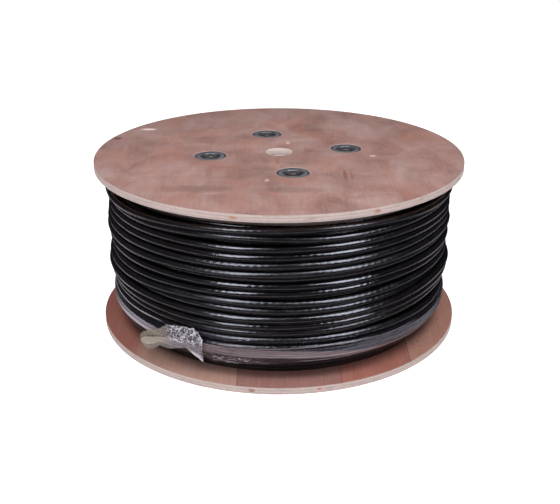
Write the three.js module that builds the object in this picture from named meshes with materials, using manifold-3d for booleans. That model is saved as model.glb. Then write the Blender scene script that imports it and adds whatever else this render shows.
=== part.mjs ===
// A plywood drum of black network cable, standing on one flange.
//
// Two round plywood flanges and a cardboard barrel are drawn together by four tie bolts, whose
// heads and nuts are sunk in dished washers. The cable is wound between the flanges, and a band
// of clear film round its lowest turns holds the outer end. The film's own end is left as a tuft.
//
// Millimetres, +Z up. The origin is the centre of the face that the drum stands on, and -Y is
// the side where the tuft of film shows.
import * as THREE from "three";
import { mergeVertices } from "three/addons/utils/BufferGeometryUtils.js";
import Module from "manifold-3d";

const wasm = await Module();
wasm.setup();

// Flanges
const flangeDiameter = 400;
const flangeThickness = 7.5;
const traverse = 171; // clear width between the flanges
const spindleHoleDiameter = 30;

// Barrel, and the plywood discs that hold it at each end
const barrelDiameter = 180;
const barrelWall = 5;
const hubDiscThickness = 7.5;

// Tie bolts
const boltCount = 4;
const boltInset = 9.5; // from the barrel's bore to a bolt's centre
const firstBoltAngle = THREE.MathUtils.degToRad(11);
const boltDiameter = 8;
const boltAcrossFlats = 13;
const boltHeadHeight = 5.3;
const nutHeight = 5;
const boltRecess = 0.3; // a head and a bolt's end lie this far below the flange's face

// Dished washers
const washerDiameter = 34;
const washerSheet = 1.4;
const washerRecess = 0.3;
const washerEdgeChamfer = 0.7;
const cupMouthDiameter = 20;
const cupFloorDiameter = 18;

// Cable
const cableDiameter = 8.2;
const coilDiameter = 374; // over the outermost turns, on average
const layerPitch = 7.75; // turns of one layer lie partly in the grooves of the one below
// The outer turns from the lowest up: how far each lies from the one below, or from the flange,
// and how far it has sunk towards the layer inside. The distances fill the traverse.
const outerTurns = [
  [5, 11], [6, 8], [8, 4.5], [7.5, 1.5], [8, 0], [8.3, 0], [9.2, 0], [9, 0], [8, 0], [6.3, 2],
  [6.2, 1], [9.4, 0], [9.7, 0], [6.1, 4], [6.4, 0], [9.3, 0], [8.7, 0], [6.6, 1], [7.9, 1],
  [9.1, 0], [11.4, 0],
];
const highestTurnGap = 5.1; // from the highest turn's centre to the upper flange
const coilLean = 2.5; // the coil is this much wider in radius at the top than at the bottom
const coilWaveHeight = 1.5; // uneven winding, as a wave of the outer radius
const coilWaveLength = 43;
const coilWaveCrest = 112; // height of one crest of that wave above the lower flange

// Clear film round the lowest turns
const filmBuild = 0.8; // several layers of film together
const filmWidth = 32;
const filmHeight = 10; // above the lower flange

// The tuft at the film's end, from its root on the band to its tip. Heights are above the
// lower flange, and angles from +X.
const tuftRootAngle = THREE.MathUtils.degToRad(-112);
const tuftSweep = THREE.MathUtils.degToRad(-28);
const tuftRootHeight = 31;
const tuftTipHeight = 11;
const tuftRootWidth = 32;
const tuftTipWidth = 16;
const tuftRootThickness = 3;
const tuftTipThickness = 6;
const tuftStandOff = 2; // the tip springs this far away from the band

// Room between a piece and what it fits in or lies against
const fitClearance = 0.3;

// Sides of the polygons that stand for circles
const rimSides = 72;
const coilSides = 36;
const spindleSides = 32;
const washerSides = 20;
const boltSides = 16;
const tuftSections = 8;
const tuftSides = 10;

const overallHeight = traverse + 2 * flangeThickness;
const flangeRadius = flangeDiameter / 2;
const spindleRadius = spindleHoleDiameter / 2;
const barrelRadius = barrelDiameter / 2;
const barrelBoreRadius = barrelRadius - barrelWall;
const boltRadius = boltDiameter / 2;
const boltCircleRadius = barrelBoreRadius - boltInset;
const cupDepth = boltHeadHeight + boltRecess;
const cupRadius = cupMouthDiameter / 2 + washerSheet / 2;
const washerSeatDepth = washerRecess + washerSheet;
const overcut = 1; // a cutter runs this far past the face that it cuts

// Turns a profile of [radius, height] points round the Z axis.
function turned(profile, sides) {
  const points = profile.map(([r, z]) => new THREE.Vector2(r, z));
  const closed = [...points, points[0].clone()];
  return new THREE.LatheGeometry(closed, sides).rotateX(Math.PI / 2);
}

// A round bar or a polygon's prism along Z, from one height to another.
function bar(radius, low, high, sides) {
  const geometry = new THREE.CylinderGeometry(radius, radius, high - low, sides);
  return geometry.rotateX(Math.PI / 2).translate(0, 0, (low + high) / 2);
}

function asSolid(geometry) {
  const bare = geometry.clone();
  bare.deleteAttribute("normal");
  bare.deleteAttribute("uv");
  const merged = mergeVertices(bare);
  const vertProperties = new Float32Array(merged.attributes.position.array);
  const triVerts = new Uint32Array(merged.index.array);
  return new wasm.Manifold(new wasm.Mesh({ numProp: 3, vertProperties, triVerts }));
}

function asGeometry(solid) {
  const mesh = solid.getMesh();
  const geometry = new THREE.BufferGeometry();
  geometry.setAttribute("position", new THREE.BufferAttribute(mesh.vertProperties, 3));
  geometry.setIndex(new THREE.BufferAttribute(mesh.triVerts, 1));
  const flat = geometry.toNonIndexed();
  flat.computeVertexNormals();
  return flat;
}

function cut(geometry, cutters) {
  let solid = asSolid(geometry);
  for (const cutter of cutters) solid = solid.subtract(asSolid(cutter));
  return asGeometry(solid);
}

// The centres of the bolts, as seen from above.
const boltCentres = Array.from({ length: boltCount }, (_, i) => {
  const angle = firstBoltAngle + (i * 2 * Math.PI) / boltCount;
  return [boltCircleRadius * Math.cos(angle), boltCircleRadius * Math.sin(angle)];
});

function atBolts(makeCutter) {
  return boltCentres.map(([x, y]) => makeCutter().translate(x, y, 0));
}

const materials = {
  plywood: new THREE.MeshStandardMaterial({ color: 0xa9857a, roughness: 0.75, metalness: 0 }),
  cardboard: new THREE.MeshStandardMaterial({ color: 0x9a7a58, roughness: 0.9, metalness: 0 }),
  cable: new THREE.MeshStandardMaterial({ color: 0x15141a, roughness: 0.3, metalness: 0 }),
  steel: new THREE.MeshStandardMaterial({ color: 0x4c5054, roughness: 0.45, metalness: 0.8 }),
  film: new THREE.MeshStandardMaterial({ color: 0xb9b2ad, roughness: 0.2, metalness: 0 }),
};

function piece(name, geometry, material) {
  const mesh = new THREE.Mesh(geometry, material);
  mesh.name = name;
  return mesh;
}

// The pieces of one end of the drum have their outer face at z = 0 and run down from it.

function flangeGeometry() {
  const disc = bar(flangeRadius, -flangeThickness, 0, rimSides);
  const spindleHole = bar(spindleRadius, -flangeThickness - overcut, overcut, spindleSides);
  const washerSeats = atBolts(() =>
    bar(washerDiameter / 2 + fitClearance, -washerSeatDepth, overcut, washerSides),
  );
  const cupHoles = atBolts(() =>
    bar(cupRadius + fitClearance, -flangeThickness - overcut, overcut, washerSides),
  );
  return cut(disc, [spindleHole, ...washerSeats, ...cupHoles]);
}

// The disc lies against the flange inside the barrel, and keeps the barrel on centre.
function hubDiscGeometry() {
  const top = -flangeThickness;
  const bottom = top - hubDiscThickness;
  const disc = bar(barrelBoreRadius - fitClearance, bottom, top, coilSides);
  const spindleHole = bar(spindleRadius, bottom - overcut, top + overcut, spindleSides);
  const boltHoles = atBolts(() =>
    bar(boltRadius + fitClearance, bottom - overcut, top + overcut, boltSides),
  );
  const cupDeep = cupDepth + washerSheet + fitClearance;
  const cupHoles = atBolts(() => bar(cupRadius + fitClearance, -cupDeep, overcut, washerSides));
  return cut(disc, [spindleHole, ...boltHoles, ...cupHoles]);
}

// A pressed washer: a flat rim that bears on the plywood, and a cup that takes the nut or head.
function washerGeometry() {
  const rimRadius = washerDiameter / 2;
  const rimTop = -washerRecess;
  const rimBottom = -washerSeatDepth;
  const cupFloor = -cupDepth;
  return turned(
    [
      [boltRadius + fitClearance, cupFloor - washerSheet],
      [cupFloorDiameter / 2 + washerSheet, cupFloor - washerSheet],
      [cupRadius, rimBottom],
      [rimRadius, rimBottom],
      [rimRadius, rimTop - washerEdgeChamfer],
      [rimRadius - washerEdgeChamfer, rimTop],
      [cupMouthDiameter / 2, rimTop],
      [cupFloorDiameter / 2, cupFloor],
      [boltRadius + fitClearance, cupFloor],
    ],
    washerSides,
  );
}

function drumEnd(side) {
  const end = new THREE.Group();
  end.add(piece(`${side}_flange`, flangeGeometry(), materials.plywood));
  end.add(piece(`${side}_hub_disc`, hubDiscGeometry(), materials.plywood));
  boltCentres.forEach(([x, y], i) => {
    const washer = piece(`${side}_cup_washer_${i + 1}`, washerGeometry(), materials.steel);
    washer.position.set(x, y, 0);
    end.add(washer);
  });
  return end;
}

function barrel() {
  const low = flangeThickness;
  const high = overallHeight - flangeThickness;
  const profile = [
    [barrelBoreRadius, low],
    [barrelRadius, low],
    [barrelRadius, high],
    [barrelBoreRadius, high],
  ];
  return piece("barrel", turned(profile, coilSides), materials.cardboard);
}

// A bolt with its head in the lower washer's cup and its end just inside the upper face.
function tieBoltGeometry() {
  const headRadius = boltAcrossFlats / Math.sqrt(3);
  const head = bar(headRadius, boltRecess, cupDepth, 6);
  const shank = bar(boltRadius, cupDepth - overcut, overallHeight - boltRecess, boltSides);
  return asGeometry(asSolid(head).add(asSolid(shank)));
}

function nutGeometry() {
  const seat = overallHeight - cupDepth;
  const body = bar(boltAcrossFlats / Math.sqrt(3), seat, seat + nutHeight, 6);
  const thread = bar(boltRadius + fitClearance, seat - overcut, seat + nutHeight + overcut, boltSides);
  return cut(body, [thread]);
}

function fasteners() {
  const group = new THREE.Group();
  boltCentres.forEach(([x, y], i) => {
    const bolt = piece(`tie_bolt_${i + 1}`, tieBoltGeometry(), materials.steel);
    const nut = piece(`tie_nut_${i + 1}`, nutGeometry(), materials.steel);
    bolt.position.set(x, y, 0);
    nut.position.set(x, y, 0);
    group.add(bolt, nut);
  });
  return group;
}

// The radius over the outermost turns at a height above the lower flange.
function coilRadiusAt(height) {
  const lean = coilLean * (height / traverse - 0.5);
  const wave = Math.cos((2 * Math.PI * (height - coilWaveCrest)) / coilWaveLength);
  return coilDiameter / 2 + lean + coilWaveHeight * wave;
}

// The height and the centre's radius of each outer turn, from the lowest up.
const cableRadius = cableDiameter / 2;
const coilLow = flangeThickness + fitClearance;
const coilHigh = overallHeight - flangeThickness - fitClearance;
const turns = (() => {
  const wound = outerTurns.reduce((sum, [distance]) => sum + distance, highestTurnGap);
  const spread = (coilHigh - coilLow) / wound;
  let z = coilLow;
  return outerTurns.map(([distance, setback]) => {
    z += distance * spread;
    return { z, centre: coilRadiusAt(z - flangeThickness) - setback - cableRadius };
  });
})();

// The coil is one turned solid. Each outer turn is a ridge of five points on its side, and
// each layer is a ridge of two points on its ends.
function cableCoil() {
  const ridgeSteps = [-1, -0.6, 0, 0.6, 1];
  const ridgeReach = 0.92; // share of the cable's radius that shows above or below its centre
  const grooveShare = 0.46; // ridges this close to halfway leave a groove between them
  const layerDepth = cableRadius * 0.43; // of the grooves between the layers on an end
  const bore = barrelRadius + fitClearance;

  const halfSpan = (from, to) => Math.min(ridgeReach * cableRadius, grooveShare * Math.abs(to - from));
  const side = turns.flatMap(({ z, centre }, i) => {
    const below = halfSpan(z, i > 0 ? turns[i - 1].z : 2 * coilLow - z);
    const above = halfSpan(z, i < turns.length - 1 ? turns[i + 1].z : 2 * coilHigh - z);
    return ridgeSteps.map((step) => {
      const rise = step * (step < 0 ? below : above);
      return [centre + Math.sqrt(cableRadius ** 2 - rise ** 2), z + rise];
    });
  });

  // An end, from the bore out to the last layer inside the outermost turn. A groove comes
  // before each layer's crest, and depth points into the coil.
  const end = (z, depth, outermostCentre) => {
    const layers = Math.floor((outermostCentre - bore) / layerPitch + 0.5);
    return Array.from({ length: layers }, (_, i) => [
      [bore + i * layerPitch, z + depth],
      [bore + (i + 0.5) * layerPitch, z],
    ]).flat();
  };
  const lowerEnd = end(coilLow, layerDepth, turns[0].centre);
  const upperEnd = end(coilHigh, -layerDepth, turns.at(-1).centre).reverse();
  return piece("cable_coil", turned([...lowerEnd, ...side, ...upperEnd], coilSides), materials.cable);
}

// The film bridges the grooves between the turns that it holds, and lies on the widest of them.
const filmBottom = flangeThickness + filmHeight;
const filmTop = filmBottom + filmWidth;
const filmedRadii = turns
  .filter(({ z }) => z > filmBottom - cableRadius && z < filmTop + cableRadius)
  .map(({ centre }) => centre + cableRadius);
const filmInnerRadius = Math.max(...filmedRadii) + fitClearance;
const filmOuterRadius = filmInnerRadius + filmBuild;

function filmBand() {
  const profile = [
    [filmInnerRadius, filmBottom],
    [filmOuterRadius, filmBottom],
    [filmOuterRadius, filmTop],
    [filmInnerRadius, filmTop],
  ];
  return piece("film_band", turned(profile, coilSides), materials.film);
}

// A ribbon of oval section that leaves the band at the right and hangs over the lower flange at
// the left.
function filmTail() {
  const { lerp } = THREE.MathUtils;
  const positions = [];
  for (let i = 0; i < tuftSections; i++) {
    const t = i / (tuftSections - 1);
    const angle = tuftRootAngle + tuftSweep * t;
    const height = flangeThickness + lerp(tuftRootHeight, tuftTipHeight, t * t);
    const halfWidth = lerp(tuftRootWidth, tuftTipWidth, t) / 2;
    const halfThickness = lerp(tuftRootThickness, tuftTipThickness, t) / 2;
    const radius = filmOuterRadius + fitClearance + halfThickness + tuftStandOff * t * t;
    for (let j = 0; j < tuftSides; j++) {
      const turn = (2 * Math.PI * j) / tuftSides;
      const r = radius + halfThickness * Math.cos(turn);
      positions.push(r * Math.cos(angle), r * Math.sin(angle), height + halfWidth * Math.sin(turn));
    }
  }
  const index = [];
  for (let i = 0; i < tuftSections - 1; i++) {
    for (let j = 0; j < tuftSides; j++) {
      const a = i * tuftSides + j;
      const b = i * tuftSides + ((j + 1) % tuftSides);
      index.push(a, b, a + tuftSides, b, b + tuftSides, a + tuftSides);
    }
  }
  const last = (tuftSections - 1) * tuftSides;
  for (let j = 1; j < tuftSides - 1; j++) {
    index.push(0, j + 1, j);
    index.push(last, last + j, last + j + 1);
  }
  const geometry = new THREE.BufferGeometry();
  geometry.setAttribute("position", new THREE.Float32BufferAttribute(positions, 3));
  geometry.setIndex(index);
  geometry.computeVertexNormals();
  return piece("film_tail", geometry, materials.film);
}

const drum = new THREE.Group();
const upperEnd = drumEnd("upper");
upperEnd.position.z = overallHeight;
const lowerEnd = drumEnd("lower");
lowerEnd.scale.z = -1; // the lower end is the upper one's mirror image
drum.add(lowerEnd, upperEnd, barrel(), fasteners(), cableCoil(), filmBand(), filmTail());

export default drum;
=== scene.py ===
"""A plywood drum of black network cable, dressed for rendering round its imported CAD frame.

Lengths are in metres, except that a name ending in _mm is in millimetres. Azimuths are in
degrees, from the drum's front (-Y) towards +X.
"""
from math import cos, hypot, pi, radians, sin, sqrt

import bmesh
import bpy
import numpy as np
from mathutils import Matrix, Vector, noise


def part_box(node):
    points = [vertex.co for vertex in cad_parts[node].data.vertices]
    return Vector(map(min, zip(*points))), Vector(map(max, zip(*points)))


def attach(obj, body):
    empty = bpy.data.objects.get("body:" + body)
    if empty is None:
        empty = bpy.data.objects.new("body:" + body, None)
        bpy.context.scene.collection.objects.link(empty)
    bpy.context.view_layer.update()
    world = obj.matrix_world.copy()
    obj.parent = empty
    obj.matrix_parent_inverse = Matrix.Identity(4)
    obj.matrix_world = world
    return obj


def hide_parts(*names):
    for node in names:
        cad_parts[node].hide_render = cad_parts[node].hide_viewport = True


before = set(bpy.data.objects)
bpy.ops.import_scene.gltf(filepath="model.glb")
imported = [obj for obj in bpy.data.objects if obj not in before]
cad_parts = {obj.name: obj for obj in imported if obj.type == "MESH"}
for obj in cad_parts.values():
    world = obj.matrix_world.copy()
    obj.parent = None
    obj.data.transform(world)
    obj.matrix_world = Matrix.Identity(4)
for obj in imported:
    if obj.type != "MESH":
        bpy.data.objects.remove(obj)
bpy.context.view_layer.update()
MM = 0.001
TAU = 2 * pi


# Sizes and places, read from the frame


def node_radius(node):
    low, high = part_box(node)
    return (high.x - low.x) / 2


def node_centre(node):
    """The place of a node's axis in the plane."""
    low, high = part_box(node)
    return tuple((low + high).xy / 2)


def node_heights(node):
    return [corner.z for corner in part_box(node)]


LOWER_LOW, LOWER_HIGH = node_heights("lower_flange")
UPPER_LOW, UPPER_HIGH = node_heights("upper_flange")
HUB_LOW, HUB_HIGH = node_heights("upper_hub_disc")
WASHER_LOW, WASHER_HIGH = node_heights("upper_cup_washer_1")
TRAVERSE_MM = (UPPER_LOW - LOWER_HIGH) / MM
FLANGE_RADIUS = node_radius("upper_flange")
HUB_RADIUS = node_radius("upper_hub_disc")
HUB_THICKNESS = HUB_HIGH - HUB_LOW
WASHER_RADIUS = node_radius("upper_cup_washer_1")
WASHER_DEPTH = WASHER_HIGH - WASHER_LOW
BARREL_RADIUS = node_radius("barrel")
BOLT_CENTRES = {i: node_centre(f"upper_cup_washer_{i}") for i in (1, 2, 3, 4)}
SPINDLE_RADIUS = 15 * MM
FIT = 0.3 * MM
BOLT_RADIUS = 4 * MM
CUP_RADIUS = 10.7 * MM
CUP_MOUTH_RADIUS = 10 * MM
CUP_FLOOR_RADIUS = 9 * MM
WASHER_SHEET = 1.4 * MM
CABLE_RADIUS = 4.1 * MM


def new_object(name, data):
    thing = bpy.data.objects.new(name, data)
    bpy.context.scene.collection.objects.link(thing)
    return thing


# Camera, at the photograph's place

PHOTO_WIDTH_PX = 560
FOCAL_PX = 910.5
SENSOR_WIDTH_MM = 36
CAMERA_DISTANCE = 1.0439
CAMERA_ELEVATION = radians(22.676)
CAMERA_ROLL = radians(0.105)
CAMERA_TARGET = Vector((1.20, 0, 66.92)) * MM


def make_camera():
    data = bpy.data.cameras.new("camera")
    data.sensor_width = SENSOR_WIDTH_MM
    data.lens = FOCAL_PX / PHOTO_WIDTH_PX * SENSOR_WIDTH_MM
    data.clip_start = 0.05
    data.clip_end = 50
    camera = new_object("camera", data)
    forward = Vector((0, cos(CAMERA_ELEVATION), -sin(CAMERA_ELEVATION)))
    level = Vector((1, 0, 0))
    upward = level.cross(forward)
    right = level * cos(CAMERA_ROLL) + upward * sin(CAMERA_ROLL)
    up = right.cross(forward)
    turn = Matrix((right, up, -forward)).transposed()
    place = CAMERA_TARGET - forward * CAMERA_DISTANCE
    camera.matrix_world = Matrix.Translation(place) @ turn.to_4x4()
    bpy.context.scene.camera = camera


# Small tools for meshes and pieces


def make_mesh(name, points, faces, smooth_angle=35):
    mesh = bpy.data.meshes.new(name)
    mesh.from_pydata([tuple(p) for p in points], [], faces)
    mesh.polygons.foreach_set("use_smooth", [smooth_angle > 0] * len(mesh.polygons))
    if smooth_angle > 0:
        mesh.set_sharp_from_angle(angle=radians(smooth_angle))
    mesh.update()
    return mesh


def add_piece(name, mesh, materials, stands_for):
    piece = new_object(name, mesh)
    for material in materials:
        mesh.materials.append(material)
    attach(piece, "root")
    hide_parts(*stands_for)
    return piece


def grid_faces(rows, columns, wrap_rows=True, wrap_columns=True):
    """Quads over a grid of points that are listed row by row."""
    row = np.arange(rows if wrap_rows else rows - 1)[:, None]
    column = np.arange(columns if wrap_columns else columns - 1)[None, :]
    next_row, next_column = (row + 1) % rows, (column + 1) % columns
    corners = ((row, column), (next_row, column), (next_row, next_column), (row, next_column))
    return np.stack([(r * columns + c).ravel() for r, c in corners], axis=1).tolist()


def lathe_mesh(name, profile, sides, centre=(0, 0)):
    """A closed profile of (radius, z) points turned round a vertical axis."""
    angles = np.linspace(0, TAU, sides, endpoint=False)
    points = [(centre[0] + r * cos(a), centre[1] + r * sin(a), z) for a in angles for r, z in profile]
    return make_mesh(name, points, grid_faces(sides, len(profile)))


def store(mesh, name, values):
    """One value a vertex, for a material to read."""
    attribute = mesh.attributes.new(name, "FLOAT", "POINT")
    attribute.data.foreach_set("value", np.asarray(values, np.float32).ravel())


def finished_mesh(bm, name):
    mesh = bpy.data.meshes.new(name)
    bm.to_mesh(mesh)
    bm.free()
    return mesh


def prism_mesh(name, radius, low, high, sides, centre=(0, 0), turn=0.0):
    place = Matrix.Translation((*centre, (low + high) / 2)) @ Matrix.Rotation(turn, 4, "Z")
    bm = bmesh.new()
    bmesh.ops.create_cone(
        bm, cap_ends=True, segments=sides, radius1=radius, radius2=radius, depth=high - low, matrix=place
    )
    return finished_mesh(bm, name)


def with_modifier(mesh, kind, **settings):
    holder = new_object("holder", mesh)
    modifier = holder.modifiers.new(kind, kind)
    for key, value in settings.items():
        setattr(modifier, key, value)
    evaluated = holder.evaluated_get(bpy.context.evaluated_depsgraph_get())
    result = bpy.data.meshes.new_from_object(evaluated)
    bpy.data.objects.remove(holder)
    return result


def cut_mesh(mesh, cutter_mesh):
    cutter = new_object("cutter", cutter_mesh)
    result = with_modifier(mesh, "BOOLEAN", object=cutter, operation="DIFFERENCE", solver="EXACT")
    bpy.data.objects.remove(cutter)
    return result


# Small tools for materials


WHITE = (1, 1, 1, 1)


class Nodes:
    """The node tree of a material or a world, built by short calls. An input may be a value or a socket."""

    def __init__(self, name, is_world=False):
        self.owner = (bpy.data.worlds if is_world else bpy.data.materials).new(name)
        self.owner.use_nodes = True
        self.tree = self.owner.node_tree
        self.tree.nodes.clear()
        self.output = self.add("OutputWorld" if is_world else "OutputMaterial")

    def add(self, kind, inputs=None, **settings):
        node = self.tree.nodes.new("ShaderNode" + kind)
        for key, value in settings.items():
            setattr(node, key, value)
        for key, value in (inputs or {}).items():
            self.put(node.inputs[key], value)
        return node

    def put(self, socket, value):
        if isinstance(value, bpy.types.NodeSocket):
            self.tree.links.new(value, socket)
        else:
            socket.default_value = value

    def place(self, scale=(1, 1, 1), offset=(0, 0, 0)):
        """Object coordinates in millimetres, divided by a length along each axis."""
        coordinates = self.add("TexCoord").outputs["Object"]
        per_axis = tuple(1 / (s * MM) for s in scale)
        mapping = self.add("Mapping", {"Vector": coordinates, "Scale": per_axis, "Location": offset})
        return mapping.outputs["Vector"]

    def parts(self):
        """The outputs X, Y and Z of the place in millimetres."""
        return self.add("SeparateXYZ", {0: self.place()}).outputs

    def length(self, vector):
        return self.add("VectorMath", {0: vector}, operation="LENGTH").outputs["Value"]

    def attribute(self, name):
        return self.add("Attribute", attribute_name=name, attribute_type="GEOMETRY").outputs["Fac"]

    def noise(self, size, offset=(0, 0, 0), scale=1.0, detail=3.0, roughness=0.5, distortion=0.0):
        """Noise over the place divided by a size in millimetres along each axis."""
        look = {"Scale": scale, "Detail": detail, "Roughness": roughness, "Distortion": distortion}
        return self.add("TexNoise", {"Vector": self.place(size, offset), **look}).outputs["Fac"]

    def ramp(self, value, stops):
        node = self.add("ValToRGB", {"Fac": value})
        elements = node.color_ramp.elements
        while len(elements) < len(stops):
            elements.new(0.5)
        for element, (position, colour) in zip(elements, stops):
            element.position = position
            element.color = colour if len(colour) == 4 else (*colour, 1)
        return node.outputs["Color"]

    def fade(self, value, low, high, out_low=0.0, out_high=1.0):
        inputs = {"Value": value, "From Min": low, "From Max": high, "To Min": out_low, "To Max": out_high}
        return self.add("MapRange", inputs, interpolation_type="SMOOTHSTEP").outputs["Result"]

    def math(self, operation, a, b=0.0, c=0.0, clamp=False):
        node = self.add("Math", operation=operation, use_clamp=clamp)
        for socket, value in zip(node.inputs, (a, b, c)):
            self.put(socket, value)
        return node.outputs["Value"]

    def times(self, a, b):
        return self.math("MULTIPLY", a, b)

    def plus(self, a, b):
        return self.math("ADD", a, b)

    def mix(self, factor, a, b, blend="MIX"):
        node = self.add("Mix", data_type="RGBA", blend_type=blend, clamp_result=False)
        colour_inputs = [s for s in node.inputs if s.type == "RGBA"]
        for socket, value in zip((node.inputs["Factor"], *colour_inputs), (factor, a, b)):
            self.put(socket, value)
        return next(s for s in node.outputs if s.type == "RGBA")

    def stain(self, colour, value, low, high, strength, tint):
        """The colour, tinted up to a strength where the value goes from low to high."""
        return self.mix(self.fade(value, low, high, 0, strength), colour, tint)

    def bump(self, height, strength, distance, below=None):
        inputs = {"Height": height, "Strength": strength, "Distance": distance}
        if below is not None:
            inputs["Normal"] = below
        return self.add("Bump", inputs).outputs["Normal"]

    def principled(self, **inputs):
        named = {key.replace("_", " ").title().replace("Ior", "IOR"): v for key, v in inputs.items()}
        return self.add("BsdfPrincipled", named).outputs["BSDF"]

    def finish(self, shader):
        self.put(self.output.inputs["Surface"], shader)
        return self.owner


def srgb(*levels):
    """A colour given as the red, green and blue levels up to 255 that a screen shows."""
    shares = [level / 255 for level in levels]
    return (*(s / 12.92 if s <= 0.04045 else ((s + 0.055) / 1.055) ** 2.4 for s in shares), 1.0)


# Plywood


ANY_HEIGHT_MM = 1e6  # so long that a spot doesn't end above or below its face
SPOT_CORE = 0.3  # the share of a spot's half size that has its full strength
SPOT_WOBBLE = 0.35


def spot(nodes, centre_mm, size_mm, strength):
    """A soft mask of an oval patch of a horizontal face, with a ragged edge."""
    x, y = centre_mm
    width, depth = size_mm
    length = nodes.length(nodes.place((width, depth, ANY_HEIGHT_MM), (-x / width, -y / depth, 0)))
    rough = nodes.noise((4, 4, 4), detail=4, roughness=0.7)
    wobble = nodes.math("MULTIPLY_ADD", rough, SPOT_WOBBLE * 2, -SPOT_WOBBLE)
    return nodes.fade(nodes.plus(length, wobble), SPOT_CORE, 1, strength, 0)


def veneer(nodes, dark, middle, light, seed):
    """The colour of a face veneer whose grain runs along Y."""
    drift = (seed, seed * 0.7, 0)
    cloud = nodes.noise((90, 150, 90), drift, scale=2.6, detail=4, roughness=0.6, distortion=0.6)
    base = nodes.ramp(cloud, [(0.30, dark), (0.5, middle), (0.72, light)])
    across = nodes.noise((140, 26, 100), (seed, 0, 0), scale=2.2, detail=3, distortion=0.8)
    base = nodes.stain(base, across, 0.45, 0.75, 0.28, dark)
    streaks = nodes.noise((2.6, 60, 30), (seed, 0, 0), scale=1.3, detail=5, roughness=0.65)
    base = nodes.stain(base, streaks, 0.42, 0.7, 0.18, light)
    base = nodes.stain(base, streaks, 0.58, 0.36, 0.14, dark)
    flecks = nodes.noise((7, 3.5, 7), (seed, 1, 0), scale=1.5, detail=4, roughness=0.7)
    base = nodes.stain(base, flecks, 0.60, 0.76, 0.45, dark)
    base = nodes.stain(base, flecks, 0.40, 0.26, 0.35, light)
    pores = nodes.noise((0.7, 9, 9), (seed, 3, 0), scale=1.6, detail=2)
    pore_mask = nodes.fade(pores, 0.60, 0.70)
    return nodes.mix(nodes.times(pore_mask, 0.12), base, dark), streaks, pore_mask


def veneer_surface(nodes, colour, streaks, pores):
    relief = nodes.bump(streaks, 0.25, 0.25 * MM)
    relief = nodes.bump(pores, 0.35, -0.12 * MM, relief)
    shader = nodes.principled(base_color=colour, roughness=0.62, specular_ior_level=0.35, normal=relief)
    return nodes.finish(shader)


def upper_face_material():
    nodes = Nodes("plywood_upper_face")
    dark, middle, light = srgb(128, 94, 86), srgb(156, 122, 114), srgb(176, 147, 141)
    colour, streaks, pores = veneer(nodes, dark, middle, light, 3.1)
    grey = nodes.noise((48, 40, 48), (1, 8, 0), scale=1.7, detail=4, roughness=0.6)
    colour = nodes.stain(colour, grey, 0.5, 0.78, 0.45, srgb(156, 132, 128))
    warm = nodes.noise((60, 90, 60), (7, 2, 0), scale=1.8, detail=3, distortion=0.5)
    colour = nodes.stain(colour, warm, 0.46, 0.74, 0.55, srgb(166, 118, 103))
    red = nodes.noise((26, 14, 26), (4, 4, 0), scale=1.6, detail=4, distortion=1.0)
    colour = nodes.stain(colour, red, 0.56, 0.72, 0.4, srgb(176, 114, 106))
    marks = [
        # centre, half size, colour, strength
        ((-155, 93), (13, 6), srgb(246, 228, 216), 1.0),
        ((-186, 53), (8, 9), srgb(98, 52, 38), 0.85),
        ((101, -15), (5, 4), srgb(230, 214, 205), 0.7),
        ((10, 35), (3, 6), srgb(226, 206, 194), 0.6),
        ((-12, -100), (3.5, 6), srgb(222, 200, 188), 0.55),
        ((-2, -33), (4, 20), srgb(150, 86, 52), 0.6),
        ((67, -82), (2.4, 26), srgb(112, 70, 54), 0.75),
        ((74, -84), (1.8, 20), srgb(120, 80, 64), 0.6),
        ((-76, -127), (58, 15), srgb(116, 86, 80), 0.55),
        ((12, -129), (42, 14), srgb(118, 88, 80), 0.5),
        ((24, 98), (7, 40), srgb(150, 100, 82), 0.35),
        ((42, 72), (7, 30), srgb(156, 100, 84), 0.35),
        ((-90, 28), (22, 9), srgb(186, 146, 134), 0.4),
        ((150, 60), (16, 30), srgb(178, 124, 104), 0.4),
    ]
    for centre, size, tint, strength in marks:
        colour = nodes.mix(spot(nodes, centre, size, strength), colour, tint)
    # Painted highlight: a pale ring on the wood round each washer seat, standing in for the seat's lit rim.
    for x, y in BOLT_CENTRES.values():
        length = nodes.length(nodes.place(offset=(-x / MM, -y / MM, -UPPER_HIGH / MM)))
        painted_seat_rim_light = nodes.fade(length, WASHER_RADIUS / MM + 0.6, WASHER_RADIUS / MM + 2.4, 0.3, 0)
        colour = nodes.mix(painted_seat_rim_light, colour, srgb(202, 182, 182))
    return veneer_surface(nodes, colour, streaks, pores)


STRIP_EDGES_MM = (-146, -41, 62, 135)
SOFT_EDGE_MM = 9  # how far the leftmost strip's colour runs into the next
SHARP_EDGE_MM = 0.4
STRIP_TINTS = (
    srgb(156, 93, 79), srgb(171, 131, 117), srgb(140, 91, 83), srgb(154, 86, 69), srgb(175, 124, 106),
)


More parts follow.
